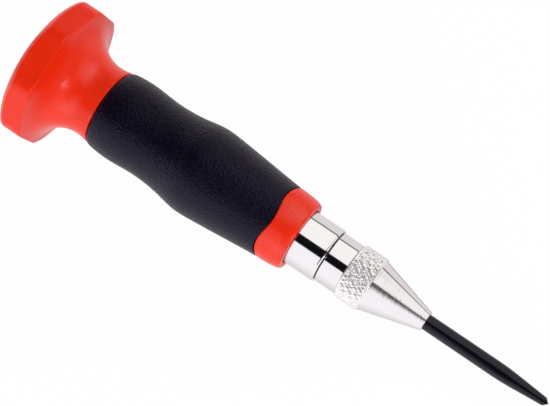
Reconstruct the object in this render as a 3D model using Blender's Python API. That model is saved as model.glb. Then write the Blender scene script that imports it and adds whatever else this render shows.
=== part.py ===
# Automatic center punch, lying along X with the point towards +X and z = 0 at the knob's lower flat.
# All drawing sizes are in millimetres; s is the distance from the point along the axis, r the radius.
import math

import bpy
import bmesh
from mathutils import Vector

for old in list(bpy.data.objects):
    bpy.data.objects.remove(old, do_unlink=True)

MM = 0.001
OUTER_SIDES = 32
INNER_SIDES = 24
KNOB_SIDES = 48

# Clearances
FIT = 0.15
PLAY = 0.20
RUN = 0.30
SEAM = 0.30
EDGE = 0.40

# Travel of the point
STROKE = 10.0

# Punch point
POINT_R = 1.13
TAPER_LENGTH = 12.8
ROD_R = 2.12
ROD_SHOWING = 35.8
FLANGE_LENGTH = 2.7
SHANK_WALL = 1.45
SHANK_LENGTH = 4.0
SOCKET_PLAY = 0.35
SOCKET_DEPTH = 3.4

# Trip pin and centring ring; the head sways to one side until the ring centres it
PIN_NOSE_R = 1.4
PIN_HEAD_R = 3.0
PIN_HEAD_LENGTH = 4.0
PIN_HEAD_STEP = 0.7
HEAD_SWAY = 0.8
PIN_GAP = 0.4
PIVOT_DEPTH = 2.0
HEAD_LEAD = 4.0
RING_SET = 4.0

# Nose
NOSE_LIP = 0.41
CONE_LENGTH = 16.4
CONE_LIP = 0.11
KNURL_LENGTH = 7.1
KNURL_HEIGHT = 0.61
KNURL_EDGE = 0.5
NOSE_LAND = 5.9
NOSE_STEP = 0.56
NOSE_EDGE = 0.25
SPIGOT_WALL = 1.2
SPIGOT_LENGTH = 8.8
CHAMBER_WALL = 0.7
GROOVE = 0.5
SEAL_DEPTH = 0.18
SEAL_GAP = 0.1

# Barrel
BORE_STEP = 0.4
TUBE_WALL = 1.7
BAND_STEP = 0.35
BAND_LENGTH = 8.3
BAND_EDGE = 0.45
SHOULDER_DEPTH = 1.6
THREAD_DEPTH = 0.6
THREAD_SET = 0.75
THREAD_LENGTH = 10.3

# Handle core
CORE_WALL = 1.75
CORE_INSET = 1.35
COLLAR_LENGTH = 7.4
COLLAR_STEP = 1.22
COLLAR_RECESS = 1.0
COLLAR_LAND = 0.75
COLLAR_BEND = 0.4
WAVE_DEPTH = 0.55
WAVES = 4
KEY_SET = 14.6
KEY_R = 1.0
KEY_FLOOR = 0.75
CIRCLIP_GAP = 0.35
CIRCLIP_WIDTH = 0.8
CIRCLIP_STEP = 0.7
CIRCLIP_SWEEP = 310.0

# Grip sleeve: stations from the front, each with its distance from the last, wall over the core and slope
GRIP_STATIONS = (
    (0.6, 1.11, 0.100),
    (18.1, 2.89, 0.090),
    (4.6, 3.17, 0.0),
    (5.8, 2.39, -0.185),
    (8.8, 1.62, 0.0),
    (9.0, 2.12, 0.0),
    (5.1, 1.75, -0.14),
)
GRIP_LIP = 1.25
GRIP_STEPS = 16

# Hammer and springs
HAMMER_LENGTH = 23.7
STRIKE_GAP = 1.0
STEM_PLAY = 0.4
GUIDE_LENGTH = 3.0
MAIN_WIRE = 1.8
MAIN_TURNS = 10
RETURN_WIRE = 0.6
RETURN_TURNS = 10
TILT_WIRE = 0.4
TILT_TURNS = 7
SPRING_WASHER = 0.6

# Adjuster
SEAT_LENGTH = 2.5
THRUST_WASHER = 0.7
THRUST_HOLE_R = 1.6
INSERT_WALL = 1.4
INSERT_END = 2.3
END_SPACE = 3.0

# Knob
MOUTH_DEPTH = 1.35
MOUTH_BEAD = 0.36
NECK_WALL = 1.72
NECK_LENGTH = 3.55
FLARE_LENGTH = 10.2
FLAT_APOTHEM = 19.4
FLAT_HALF_WIDTH = 8.35
FLANGE_EDGE = 1.9
RIM_LENGTH = 3.63
CROWN_RADIUS = 46.0
CROWN_LAND = 1.4
CROWN_EDGE = 12.0

# Places along the axis, from the nose back to the crown of the knob
nose_front = ROD_SHOWING
knurl_front = nose_front + CONE_LENGTH
knurl_rear = knurl_front + KNURL_LENGTH
nose_rear = knurl_rear + NOSE_LAND
spigot_rear = nose_rear + SPIGOT_LENGTH
barrel_front = nose_rear + GROOVE
collar_front = barrel_front + BAND_LENGTH
barrel_shoulder = collar_front + SHOULDER_DEPTH
wave_s = collar_front + COLLAR_LENGTH
grip_rear = wave_s + GRIP_LIP + sum(step for step, wall, slope in GRIP_STATIONS)
core_rear = grip_rear - CORE_INSET
circlip_s = core_rear + CIRCLIP_GAP
knob_front = grip_rear + SEAM
neck_s = knob_front + NECK_LENGTH
flange_front = neck_s + FLARE_LENGTH
thread_start = knob_front + THREAD_SET
barrel_rear = thread_start + THREAD_LENGTH
insert_front = knob_front + MOUTH_DEPTH
insert_floor = barrel_rear + END_SPACE
insert_rear = insert_floor + INSERT_END
knob_floor = insert_rear + RUN

# Places of the trip mechanism, from the barrel's bore step
ring_front = spigot_rear + RING_SET
head_rear = ring_front - HEAD_LEAD
head_front = head_rear - PIN_HEAD_LENGTH
ring_rear = head_rear + STROKE + PIN_HEAD_LENGTH
pin_end = ring_rear
hammer_front = ring_rear + RUN
hammer_rear = hammer_front + HAMMER_LENGTH
thrust_rear = insert_floor - FIT
thrust_front = thrust_rear - THRUST_WASHER
seat_rear = thrust_front - FIT
seat_front = seat_rear - SEAT_LENGTH

# Radii, from the pin's head outwards
throat_r = PIN_HEAD_R + RUN
spring_inner_r = PIN_HEAD_R + HEAD_SWAY + PLAY
spring_outer_r = spring_inner_r + RETURN_WIRE
chamber_r = spring_outer_r + PLAY
spigot_r = chamber_r + SPIGOT_WALL
bore_r = spigot_r - BORE_STEP
tube_r = bore_r + TUBE_WALL
thread_r = tube_r - THREAD_DEPTH
band_r = tube_r + BAND_STEP
nose_r = band_r - NOSE_STEP
knurl_r = nose_r + KNURL_HEIGHT
cone_end_r = nose_r + CONE_LIP
nose_bore = ROD_R + FIT
nose_front_r = nose_bore + NOSE_LIP
core_bore = tube_r + FIT
core_r = core_bore + CORE_WALL
collar_bore = band_r + RUN
collar_r = core_r + COLLAR_STEP
grip_bore = core_r + FIT
insert_bore = thread_r + RUN
insert_r = insert_bore + INSERT_WALL
knob_bore = insert_r + FIT
neck_r = knob_bore + NECK_WALL
socket_r = PIN_NOSE_R + SOCKET_PLAY
shank_r = socket_r + SHANK_WALL
body_r = PIN_HEAD_R - PIN_HEAD_STEP
slide_r = bore_r - RUN

# The chamber starts where the cone is thick enough, and the point's flange stops against it
cone_share = (chamber_r + CHAMBER_WALL - nose_front_r) / (cone_end_r - nose_front_r)
chamber_front = nose_front + CONE_LENGTH * cone_share
flange_front_s = chamber_front + RUN
flange_rear = flange_front_s + FLANGE_LENGTH
shank_rear = flange_rear + SHANK_LENGTH
socket_floor = shank_rear - SOCKET_DEPTH
pivot_s = shank_rear - PIVOT_DEPTH
tilt = math.asin(HEAD_SWAY / (head_rear - pivot_s))
stem_r = throat_r - PLAY - (pin_end - pivot_s) * math.sin(tilt)

# Crown of the knob: a wide dome and a tighter edge arc, ending the tool's length
flange_r = FLAT_APOTHEM + FLANGE_EDGE
crown_turn = math.asin((FLAT_APOTHEM - CROWN_LAND) / CROWN_RADIUS)
edge_r = (CROWN_RADIUS - CROWN_EDGE) * math.sin(crown_turn)
edge_turn = math.asin((flange_r - edge_r) / CROWN_EDGE)
rim_rear = flange_front + FLANGE_EDGE + RIM_LENGTH
edge_s = rim_rear - CROWN_EDGE * math.cos(edge_turn)
crown_s = edge_s - (CROWN_RADIUS - CROWN_EDGE) * math.cos(crown_turn)
length = crown_s + CROWN_RADIUS
AXIS_Z = FLAT_APOTHEM


def colour(name, rgb, metallic, roughness):
    mat = bpy.data.materials.new(name)
    mat.use_nodes = True
    shader = mat.node_tree.nodes["Principled BSDF"]
    shader.inputs["Base Color"].default_value = (*rgb, 1.0)
    shader.inputs["Metallic"].default_value = metallic
    shader.inputs["Roughness"].default_value = roughness
    mat.diffuse_color = (*rgb, 1.0)
    return mat


def finish(name, bm, rgb, metallic, roughness, pivot):
    """Make the object with its origin on the tool axis at the pivot."""
    bmesh.ops.recalc_face_normals(bm, faces=bm.faces)
    mesh = bpy.data.meshes.new(name)
    bm.to_mesh(mesh)
    bm.free()
    mesh.shade_smooth()
    mesh.set_sharp_from_angle(angle=math.radians(30.0))
    obj = bpy.data.objects.new(name, mesh)
    obj.location = ((length / 2 - pivot) * MM, 0.0, AXIS_Z * MM)
    mesh.materials.append(colour(name + "_material", rgb, metallic, roughness))
    bpy.context.scene.collection.objects.link(obj)
    return obj


def turned(name, profile, look, sides=INNER_SIDES, pivot=0.0, sweep=360.0):
    """Turn a closed outline of (s, r) or (s, r, wave depth) points about the tool axis."""
    bm = bmesh.new()
    full = sweep > 359.9
    rings = sides if full else sides + 1
    grid = []
    for k in range(rings):
        angle = math.radians(sweep) * k / sides
        row = []
        for j, point in enumerate(profile):
            s, r = point[0], point[1]
            if len(point) > 2:
                s -= point[2] * math.cos(WAVES * angle)
            if r <= 0.0 and k > 0:
                row.append(grid[0][j])
                continue
            place = Vector((pivot - s, r * math.cos(angle), r * math.sin(angle))) * MM
            row.append(bm.verts.new(place))
        grid.append(row)
    solid = profile[0][1] <= 0.0 and profile[-1][1] <= 0.0
    spans = len(profile) - 1 if solid else len(profile)
    for k in range(sides):
        here = grid[k]
        there = grid[(k + 1) % rings]
        for j in range(spans):
            j2 = (j + 1) % len(profile)
            corners = []
            for vert in (here[j], here[j2], there[j2], there[j]):
                if vert not in corners:
                    corners.append(vert)
            bm.faces.new(corners)
    if not full:
        bm.faces.new(grid[0])
        bm.faces.new(grid[-1])
    return finish(name, bm, *look, pivot)


def coil(name, start, end, mean_r, wire, turns, steps=12, sides=6, pivot=0.0):
    """A compression spring with closed end turns between two planes."""
    bm = bmesh.new()
    first = start + wire / 2
    last = end - wire / 2
    lead = wire * 1.08
    middle = (last - first - 2.0 * lead) / (turns - 2.0)
    count = turns * steps
    rings = []
    for i in range(count + 1):
        turn = turns * i / count
        if turn < 1.0:
            s = first + lead * turn
            pitch = lead
        elif turn > turns - 1.0:
            s = last - lead * (turns - turn)
            pitch = lead
        else:
            s = first + lead + middle * (turn - 1.0)
            pitch = middle
        angle = 2.0 * math.pi * turn
        outward = Vector((0.0, math.cos(angle), math.sin(angle)))
        along = Vector((-pitch / (2.0 * math.pi * mean_r), -math.sin(angle), math.cos(angle)))
        side = along.normalized().cross(outward)
        centre = Vector((pivot - s, 0.0, 0.0)) + outward * mean_r
        ring = []
        for k in range(sides):
            turn_angle = 2.0 * math.pi * k / sides
            offset = outward * math.cos(turn_angle) + side * math.sin(turn_angle)
            ring.append(bm.verts.new((centre + offset * (wire / 2)) * MM))
        rings.append(ring)
    for a, b in zip(rings, rings[1:]):
        for k in range(sides):
            k2 = (k + 1) % sides
            bm.faces.new((a[k], a[k2], b[k2], b[k]))
    bm.faces.new(rings[0])
    bm.faces.new(rings[-1])
    return finish(name, bm, *SPRING_STEEL, pivot)


def cutter(name, bm, pivot):
    obj = finish(name, bm, (0.5, 0.5, 0.5), 0.0, 0.5, pivot)
    obj.hide_render = True
    obj.display_type = "WIRE"
    return obj


def boolean(obj, tool, operation):
    mod = obj.modifiers.new(operation.lower(), "BOOLEAN")
    mod.operation = operation
    mod.solver = "EXACT"
    mod.object = tool


def arc(centre_s, centre_r, radius, start, end, steps):
    """Points of a round stretch, with start and end in degrees from the +s direction."""
    points = []
    for i in range(steps + 1):
        angle = math.radians(start + (end - start) * i / steps)
        points.append((centre_s + radius * math.cos(angle), centre_r + radius * math.sin(angle)))
    return points


def prism(outline, low, high, along_x):
    """A closed prism of a polygon, along X or along Y."""
    bm = bmesh.new()
    rings = []
    for end in (low, high):
        ring = []
        for a, b in outline:
            place = Vector((end, a, b)) if along_x else Vector((a, end, b))
            ring.append(bm.verts.new(place * MM))
        rings.append(ring)
    for k in range(len(outline)):
        k2 = (k + 1) % len(outline)
        bm.faces.new((rings[0][k], rings[0][k2], rings[1][k2], rings[1][k]))
    bm.faces.new(rings[0])
    bm.faces.new(rings[1])
    return bm


def grip_curve(stations, s):
    """Smooth curve through stations, each with a place, a radius and a slope."""
    pairs = list(zip(stations, stations[1:]))
    a, b = next((pair for pair in pairs if s <= pair[1][0]), pairs[-1])
    span = b[0] - a[0]
    t = (s - a[0]) / span
    rise = (2 * t ** 3 - 3 * t ** 2 + 1) * a[1] + (3 * t ** 2 - 2 * t ** 3) * b[1]
    bend = (t ** 3 - 2 * t ** 2 + t) * span * a[2] + (t ** 3 - t ** 2) * span * b[2]
    return rise + bend


# Looks: colour, metallic, roughness
CHROME = ((0.62, 0.62, 0.64), 1.0, 0.12)
STEEL = ((0.42, 0.42, 0.44), 1.0, 0.35)
SPRING_STEEL = ((0.30, 0.31, 0.34), 1.0, 0.30)
BLACK_STEEL = ((0.015, 0.016, 0.02), 0.6, 0.38)
RED = ((0.72, 0.02, 0.008), 0.0, 0.32)
RUBBER = ((0.012, 0.012, 0.016), 0.0, 0.6)
SEAL = ((0.008, 0.008, 0.008), 0.0, 0.5)
BRASS = ((0.62, 0.43, 0.16), 1.0, 0.3)

# Punch point: ground point, long taper, rod, stop flange, shank with the socket for the pin
turned(
    "punch_point",
    (
        (0.0, 0.0),
        (POINT_R, POINT_R),
        (TAPER_LENGTH, ROD_R),
        (flange_front_s, ROD_R),
        (flange_front_s, chamber_r - RUN),
        (flange_rear, chamber_r - RUN),
        (flange_rear, shank_r),
        (shank_rear, shank_r),
        (shank_rear, socket_r),
        (socket_floor, socket_r),
        (socket_floor - socket_r / 2, 0.0),
    ),
    BLACK_STEEL,
)

# Nose: cone, knurled ring, cylinder, spigot that screws into the barrel
turned(
    "nose_cone",
    (
        (nose_front, nose_bore),
        (nose_front, nose_front_r),
        (knurl_front, cone_end_r),
        (knurl_front + KNURL_EDGE, knurl_r),
        (knurl_rear - KNURL_EDGE, knurl_r),
        (knurl_rear, nose_r),
        (nose_rear - NOSE_EDGE, nose_r),
        (nose_rear, nose_r - NOSE_EDGE),
        (nose_rear, spigot_r),
        (spigot_rear, spigot_r),
        (spigot_rear, chamber_r),
        (chamber_front, chamber_r),
        (chamber_front, nose_bore),
    ),
    CHROME,
    sides=OUTER_SIDES,
)

# Thin black ring in the groove between nose and barrel
seal_r = nose_r - SEAL_DEPTH
turned(
    "nose_o_ring",
    (
        (nose_rear + SEAL_GAP, spigot_r + FIT),
        (nose_rear + SEAL_GAP, seal_r - SEAL_GAP),
        ((nose_rear + barrel_front) / 2, seal_r),
        (barrel_front - SEAL_GAP, seal_r - SEAL_GAP),
        (barrel_front - SEAL_GAP, spigot_r + FIT),
    ),
    SEAL,
    sides=OUTER_SIDES,
)

# Barrel: bright band, shoulder, tube inside the handle, circlip groove and rear thread
barrel = turned(
    "barrel",
    (
        (barrel_front, spigot_r + FIT),
        (barrel_front, band_r - BAND_EDGE),
        (barrel_front + BAND_EDGE, band_r),
        (barrel_shoulder, band_r),
        (barrel_shoulder, tube_r),
        (circlip_s - FIT, tube_r),
        (circlip_s - FIT, thread_r),
        (circlip_s + CIRCLIP_WIDTH + FIT, thread_r),
        (circlip_s + CIRCLIP_WIDTH + FIT, tube_r),
        (thread_start, tube_r),
        (thread_start, thread_r),
        (barrel_rear - EDGE, thread_r),
        (barrel_rear, thread_r - EDGE),
        (barrel_rear, bore_r),
        (spigot_rear + RUN, bore_r),
        (spigot_rear + RUN, spigot_r + FIT),
    ),
    CHROME,
    sides=OUTER_SIDES,
)

# Handle core: red tube with the collar in front, whose outline bends back to its full radius
core_step = barrel_shoulder + RUN
land_r = collar_bore + COLLAR_LAND
collar_steps = 6
core_outline = [(collar_front + COLLAR_RECESS, collar_bore), (collar_front + COLLAR_RECESS, land_r)]
for i in range(collar_steps):
    share = (i / collar_steps) ** 2.5
    rise = (1.0 - (1.0 - share) ** 2) ** COLLAR_BEND
    lip_r = land_r + PLAY
    core_outline.append((collar_front + COLLAR_LENGTH * share, lip_r + (collar_r - lip_r) * rise))
core_outline += [
    (wave_s, collar_r, WAVE_DEPTH),
    (wave_s, core_r, WAVE_DEPTH),
    (core_rear, core_r),
    (core_rear, core_bore),
    (core_step, core_bore),
    (core_step, collar_bore),
]
core = turned("handle_core", core_outline, RED, sides=OUTER_SIDES)

# Grip sleeve over the core
grip_stations = []
station_s = wave_s
for step, wall, slope in GRIP_STATIONS:
    station_s += step
    grip_stations.append((station_s, grip_bore + wall, slope))
first_r = grip_stations[0][1]
last_r = grip_stations[-1][1]
smooth_start = wave_s + SEAM + 2.0 * WAVE_DEPTH
grip_outline = [(wave_s + SEAM, grip_bore, WAVE_DEPTH), (wave_s + SEAM, first_r, WAVE_DEPTH)]
for i in range(GRIP_STEPS + 1):
    s_here = smooth_start + (station_s - smooth_start) * i / GRIP_STEPS
    grip_outline.append((s_here, grip_curve(grip_stations, s_here)))
grip_outline += [
    (grip_rear - EDGE, last_r - EDGE / 2),
    (grip_rear, last_r - 1.5 * EDGE),
    (grip_rear, grip_bore),
]
turned("grip_sleeve", grip_outline, RUBBER, sides=OUTER_SIDES)

# Open circlip behind the core
turned(
    "retaining_ring",
    (
        (circlip_s, thread_r + FIT),
        (circlip_s, core_r - CIRCLIP_STEP),
        (circlip_s + CIRCLIP_WIDTH, core_r - CIRCLIP_STEP),
        (circlip_s + CIRCLIP_WIDTH, thread_r + FIT),
    ),
    SPRING_STEEL,
    sweep=CIRCLIP_SWEEP,
)

# Key pin between core and barrel, with its hole through the core and blind in the barrel
key_s = wave_s + KEY_SET
key_bottom = bore_r + KEY_FLOOR
key_outline = arc(0.0, 0.0, KEY_R, 0.0, 330.0, 11)
hole_outline = arc(0.0, 0.0, KEY_R + FIT, 0.0, 330.0, 11)
finish("key_pin", prism(key_outline, key_bottom, core_r - FIT, False), *STEEL, key_s)
key_hole = cutter("key_hole", prism(hole_outline, key_bottom - FIT, core_r + FIT, False), key_s)
boolean(core, key_hole, "DIFFERENCE")
boolean(barrel, key_hole, "DIFFERENCE")

# Trip pin, standing tilted in the point's socket, and its small spring
pin_body = shank_rear + 2.0 * RUN
pin = turned(
    "trip_pin",
    (
        (socket_floor + PIN_GAP, 0.0),
        (socket_floor + PIN_GAP, PIN_NOSE_R - EDGE),
        (socket_floor + PIN_GAP + EDGE, PIN_NOSE_R),
        (pin_body, PIN_NOSE_R),
        (pin_body, body_r),
        (head_front, body_r),
        (head_front, PIN_HEAD_R),
        (head_rear, PIN_HEAD_R),
        (head_rear, stem_r),
        (pin_end, stem_r),
        (pin_end, 0.0),
    ),
    STEEL,
    pivot=pivot_s,
)
pin.rotation_euler = (0.0, -tilt, 0.0)
tilt_spring_r = body_r + RUN + TILT_WIRE / 2
tilt_spring = coil(
    "tilt_spring",
    shank_rear + RUN,
    head_front - RUN,
    tilt_spring_r,
    TILT_WIRE,
    TILT_TURNS,
    steps=10,
    sides=5,
    pivot=pivot_s,
)
tilt_spring.rotation_euler = (0.0, -tilt, 0.0)

# Centring ring with the conical mouth; its rear face is the hammer's front stop
turned(
    "centring_ring",
    (
        (ring_front, spring_outer_r),
        (ring_front, bore_r - FIT),
        (ring_rear, bore_r - FIT),
        (ring_rear, throat_r),
        (ring_front + HEAD_LEAD, throat_r),
    ),
    STEEL,
)

# Return spring between the point's flange and its rear washer
washer_rear = ring_front - RUN
washer_front = washer_rear - SPRING_WASHER
turned(
    "spring_washer",
    (
        (washer_front, spring_inner_r),
        (washer_front, bore_r - FIT),
        (washer_rear, bore_r - FIT),
        (washer_rear, spring_inner_r),
    ),
    STEEL,
)
spring_r = (spring_inner_r + spring_outer_r) / 2
coil("return_spring", flange_rear + RUN, washer_front - RUN, spring_r, RETURN_WIRE, RETURN_TURNS, sides=5)

# Hammer with the blind hole in front and the spring guide behind
main_spring_r = bore_r - EDGE - MAIN_WIRE / 2
guide_r = main_spring_r - MAIN_WIRE / 2 - RUN
hole_r = stem_r + STEM_PLAY
hole_end = hammer_front + STROKE - STRIKE_GAP
turned(
    "hammer",
    (
        (hole_end, 0.0),
        (hole_end, hole_r),
        (hammer_front, hole_r),
        (hammer_front, slide_r - EDGE),
        (hammer_front + EDGE, slide_r),
        (hammer_rear, slide_r),
        (hammer_rear, guide_r),
        (hammer_rear + GUIDE_LENGTH, guide_r),
        (hammer_rear + GUIDE_LENGTH, 0.0),
    ),
    STEEL,
)
coil("main_spring", hammer_rear + RUN, seat_front - RUN, main_spring_r, MAIN_WIRE, MAIN_TURNS)

# Adjuster: seat with spigot, washer, threaded insert and its ring
turned(
    "spring_seat",
    (
        (seat_front - GUIDE_LENGTH, 0.0),
        (seat_front - GUIDE_LENGTH, guide_r),
        (seat_front, guide_r),
        (seat_front, slide_r),
        (seat_rear, slide_r),
        (seat_rear, 0.0),
    ),
    STEEL,
)
turned(
    "thrust_washer",
    (
        (thrust_front, THRUST_HOLE_R),
        (thrust_front, slide_r),
        (thrust_rear, slide_r),
        (thrust_rear, THRUST_HOLE_R),
    ),
    BRASS,
)
turned(
    "knob_insert",
    (
        (insert_floor, 0.0),
        (insert_floor, insert_bore),
        (insert_front, insert_bore),
        (insert_front, insert_r - EDGE),
        (insert_front + EDGE, insert_r),
        (insert_rear, insert_r),
        (insert_rear, 0.0),
    ),
    STEEL,
    sides=OUTER_SIDES,
    pivot=seat_rear,
)
cap_wire_r = (knob_bore - tube_r) / 2 - FIT
cap_ring_s = insert_front - FIT - cap_wire_r
cap_ring_outline = arc(cap_ring_s, (knob_bore + tube_r) / 2, cap_wire_r, 30.0, 330.0, 5)
turned("cap_o_ring", cap_ring_outline, SEAL, pivot=seat_rear)

# Knob: a turned body with a concave flare and a domed crown, cut to eight flats by a prism
flare_turn = 2.0 * math.atan2(FLAT_APOTHEM - neck_r, FLARE_LENGTH)
flare_radius = FLARE_LENGTH / math.sin(flare_turn)
flare_end = math.degrees(flare_turn) - 90.0
crown_deg = math.degrees(crown_turn)
knob_outline = [
    (knob_floor, 0.0),
    (knob_floor, knob_bore),
    (knob_front, knob_bore),
    (knob_front, neck_r + MOUTH_BEAD / 2),
    (knob_front + MOUTH_BEAD, neck_r + MOUTH_BEAD),
    (knob_front + NECK_LENGTH / 2, neck_r + MOUTH_BEAD / 3),
]
knob_outline += arc(neck_s, neck_r + flare_radius, flare_radius, -90.0, flare_end, 7)
knob_outline += arc(flange_front + FLANGE_EDGE, FLAT_APOTHEM, FLANGE_EDGE, 180.0, 90.0, 5)[1:]
knob_outline += arc(edge_s, edge_r, CROWN_EDGE, math.degrees(edge_turn), crown_deg, 4)
knob_outline += arc(crown_s, 0.0, CROWN_RADIUS, crown_deg, 0.0, 5)[1:-1]
knob_outline.append((length, 0.0))
knob = turned("knob", knob_outline, RED, sides=KNOB_SIDES, pivot=seat_rear)
octagon = []
for corner in range(4):
    angle = math.radians(90.0 * corner)
    for y, z in ((FLAT_APOTHEM, -FLAT_HALF_WIDTH), (FLAT_APOTHEM, FLAT_HALF_WIDTH)):
        turned_y = y * math.cos(angle) - z * math.sin(angle)
        turned_z = y * math.sin(angle) + z * math.cos(angle)
        octagon.append((turned_y, turned_z))
past_front = seat_rear - knob_front + RIM_LENGTH
past_rear = seat_rear - length - RIM_LENGTH
octagon_cutter = cutter("knob_prism", prism(octagon, past_rear, past_front, True), seat_rear)
boolean(knob, octagon_cutter, "INTERSECT")
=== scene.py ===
# Automatic center punch: the finish of every piece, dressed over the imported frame.
# Outlines are in millimetres: s is the distance from the point along the tool axis, r the radius.
import math

import bmesh
import bpy
from mathutils import Matrix, Vector


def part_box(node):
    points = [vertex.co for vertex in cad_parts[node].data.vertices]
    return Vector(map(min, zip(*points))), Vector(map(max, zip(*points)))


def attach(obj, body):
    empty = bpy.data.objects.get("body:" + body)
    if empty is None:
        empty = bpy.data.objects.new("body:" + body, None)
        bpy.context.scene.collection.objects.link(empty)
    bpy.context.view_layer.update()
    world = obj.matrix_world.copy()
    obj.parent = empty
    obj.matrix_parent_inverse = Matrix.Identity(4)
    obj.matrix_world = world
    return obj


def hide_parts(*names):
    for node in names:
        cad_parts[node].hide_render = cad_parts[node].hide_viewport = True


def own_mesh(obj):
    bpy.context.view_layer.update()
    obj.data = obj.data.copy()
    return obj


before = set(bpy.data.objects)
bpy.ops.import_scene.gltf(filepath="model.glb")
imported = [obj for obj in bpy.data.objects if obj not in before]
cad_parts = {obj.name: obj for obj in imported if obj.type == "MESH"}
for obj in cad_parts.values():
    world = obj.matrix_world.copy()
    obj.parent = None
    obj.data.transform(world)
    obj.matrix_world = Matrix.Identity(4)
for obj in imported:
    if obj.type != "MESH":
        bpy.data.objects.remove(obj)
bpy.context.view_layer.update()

MM = 0.001
WELD = 0.0001
TURN_STEPS = 128
FINE_STEPS = 192
ROD_STEPS = 96
ARC_STEP = math.radians(15.0)
SHARP_ANGLE = math.radians(32.0)

# Places from the frame; the trims bring finished edges onto those of the photograph
NOSE_TRIM = 0.35
COLLAR_TRIM = 0.35
KNOB_TRIM = 0.15
point_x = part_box("punch_point")[1].x
axis_z = (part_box("knob")[0].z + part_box("knob")[1].z) / 2
TO_FRAME = Matrix.Translation((point_x, 0.0, axis_z)) @ Matrix.Scale(MM, 4)


def front_of(node):
    return (point_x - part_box(node)[1].x) / MM


def rear_of(node):
    return (point_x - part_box(node)[0].x) / MM


def radius_of(node):
    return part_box(node)[1].y / MM


nose_front = front_of("nose_cone") + NOSE_TRIM
spigot_rear = rear_of("nose_cone")
knurl_r = radius_of("nose_cone")
barrel_front = front_of("barrel")
barrel_rear = rear_of("barrel")
band_r = radius_of("barrel")
collar_front = front_of("handle_core") + COLLAR_TRIM
core_rear = rear_of("handle_core")
collar_r = radius_of("handle_core")
grip_rear = rear_of("grip_sleeve")
knob_front = front_of("knob")
length = rear_of("knob")
flat_apothem = radius_of("knob") - KNOB_TRIM
insert_rear = rear_of("knob_insert")
insert_r = radius_of("knob_insert")
shank_rear = rear_of("punch_point")

# Drawing sizes that the frame's boxes don't give
FIT = 0.15
RUN = 0.30
SEAM = 0.30
POINT_R = 1.13
TAPER_LENGTH = 12.8
ROD_R = 2.12
NOSE_LIP = 0.41
CONE_LENGTH = 16.05
CONE_END_R = 7.2
KNURL_LENGTH = 7.1
NOSE_R = 7.09
NOSE_LAND = 5.9
SPIGOT_R = 6.0
CHAMBER_R = 4.8
CHAMBER_FRONT = 45.98
BORE_R = 5.6
TUBE_R = 7.3
THREAD_R = 6.7
SHOULDER_DEPTH = 1.6
CORE_R = 9.2
COLLAR_LENGTH = 7.28
COLLAR_LIP = 1.20
COLLAR_BEND = 0.4
WAVE_DEPTH = 0.55
WAVES = 4
# Grip stations behind the wave: step from the one before, wall and slope
GRIP_STATIONS = (
    (0.6, 1.11, 0.100),
    (18.1, 2.89, 0.090),
    (4.6, 3.17, 0.0),
    (5.8, 2.39, -0.185),
    (8.8, 1.62, 0.0),
    (9.0, 2.12, 0.0),
    (5.1, 1.75, -0.14),
)
NECK_R = 10.27
NECK_LENGTH = 3.55
FLARE_LENGTH = 10.2
FLAT_HALF_WIDTH = 8.35
FLANGE_EDGE = 1.9
CROWN_RADIUS = 46.0
CROWN_LAND = 1.4
CROWN_EDGE = 12.0

# Fine shape of the knob: rounding of its ridges and corners
RIDGE_ROUND = 0.30
RIM_CHAMFER = 0.62
RIM_ROUND = 0.20
CORNER_BLEND = 1.8

# Diamond knurl
DIAMONDS = 44
DIAMOND_PITCH = 1.8
DIAMOND_DEPTH = 0.19
DIAMOND_TOP = 0.8
DIAMOND_SWAY = 0.08
DIAMOND_CUTS = 10
KNURL_RISE = 0.45
KNURL_MARGIN = 0.05
KNURL_GROOVE = 0.22
KNURL_GROOVE_LENGTH = 0.35

# Unevenness of the knurl: waves for each diamond around and along, the depth's with a size first
LEFT_SWAY = (2.9, 4.3)
RIGHT_SWAY = (3.3, -3.8)
DEPTH_WAVES = ((0.40, 2.3, 5.1), (0.35, 3.7, -2.9))

# Thread under the knob, three turns of it used by the knob's travel
THREAD_PITCH = 1.25
THREAD_DEPTH = 0.55
THREAD_FLANK = 2.4
THREAD_ROWS = 12
THREAD_START = 0.75
THREAD_BREAK = 0.4

# A pressed pattern leaves alone whatever lies further in than this
SKIN = 0.2

# Springs: turns, steps for each turn, sides of the wire, lead of a closed end turn for each width of
# wire, and the two wires
COIL_TURNS = 10
COIL_STEPS = 36
WIRE_SIDES = 12
CLOSED_LEAD = 1.08
RETURN_WIRE = 0.6
MAIN_WIRE = 1.8

# The nose and the barrel close up on the thin seal between them
SEAL_COVER = 0.11
SEAM_DEPTH = 0.4
SEAL_SIDE = 0.1
SEAL_SINK = 0.18
SEAL_INNER_ROUND = 0.4
SEAL_OUTER_ROUND = 0.8

wave_s = collar_front + COLLAR_LENGTH
knurl_front = nose_front + CONE_LENGTH
knurl_rear = knurl_front + KNURL_LENGTH
nose_rear = knurl_rear + NOSE_LAND


# Mesh helpers


def rounded(points):
    """Outline of (s, r) or (s, r, radius) corners, with each radius worked into an arc."""
    outline = []
    for i, point in enumerate(points):
        here = Vector(point[:2])
        if len(point) < 3:
            outline.append(here)
            continue
        before = (Vector(points[i - 1][:2]) - here).normalized()
        after = (Vector(points[i + 1][:2]) - here).normalized()
        half = before.angle(after) / 2
        reach = point[2] / math.tan(half)
        centre = here + (before + after).normalized() * point[2] / math.sin(half)
        start = here + before * reach - centre
        turn = math.pi - 2 * half
        if start.x * (here - centre).y - start.y * (here - centre).x < 0:
            turn = -turn
        steps = max(2, math.ceil(abs(turn) / ARC_STEP))
        for k in range(steps + 1):
            angle = turn * k / steps
            x = start.x * math.cos(angle) - start.y * math.sin(angle)
            y = start.x * math.sin(angle) + start.y * math.cos(angle)
            outline.append(centre + Vector((x, y)))
    return [(point[0], point[1]) for point in outline]


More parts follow.
